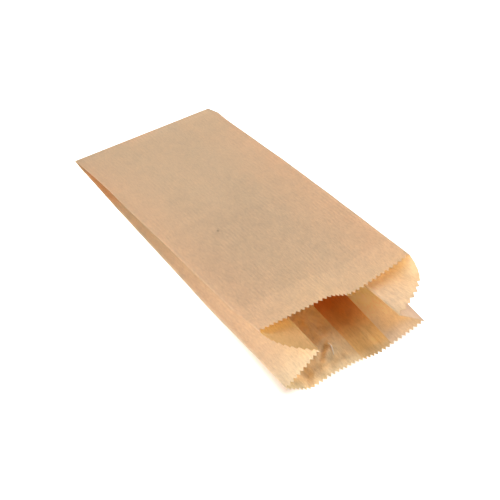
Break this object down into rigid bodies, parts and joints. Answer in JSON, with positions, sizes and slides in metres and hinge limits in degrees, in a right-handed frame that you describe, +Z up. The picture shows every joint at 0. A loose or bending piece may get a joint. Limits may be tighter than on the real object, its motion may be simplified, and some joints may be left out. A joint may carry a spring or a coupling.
{
  "type": "brown paper lunch bag",
  "caption": "Plain brown kraft paper lunch bag with tucked side gussets, a folded and glued end and a toothed open mouth, lying on its back panel.",
  "frame": {"origin": "middle of the underside, at the level the bag lies on", "axes": "+X across the bag's width, +Y from the open mouth towards the folded end, +Z up through the front panel"},
  "size_m": [0.1236, 0.2778, 0.0465],
  "materials": {
    "kraft_paper": "matte ribbed kraft paper"
  },
  "bodies": {
    "root": {"paper_bag": "kraft_paper"}
  },
  "joints": []
}
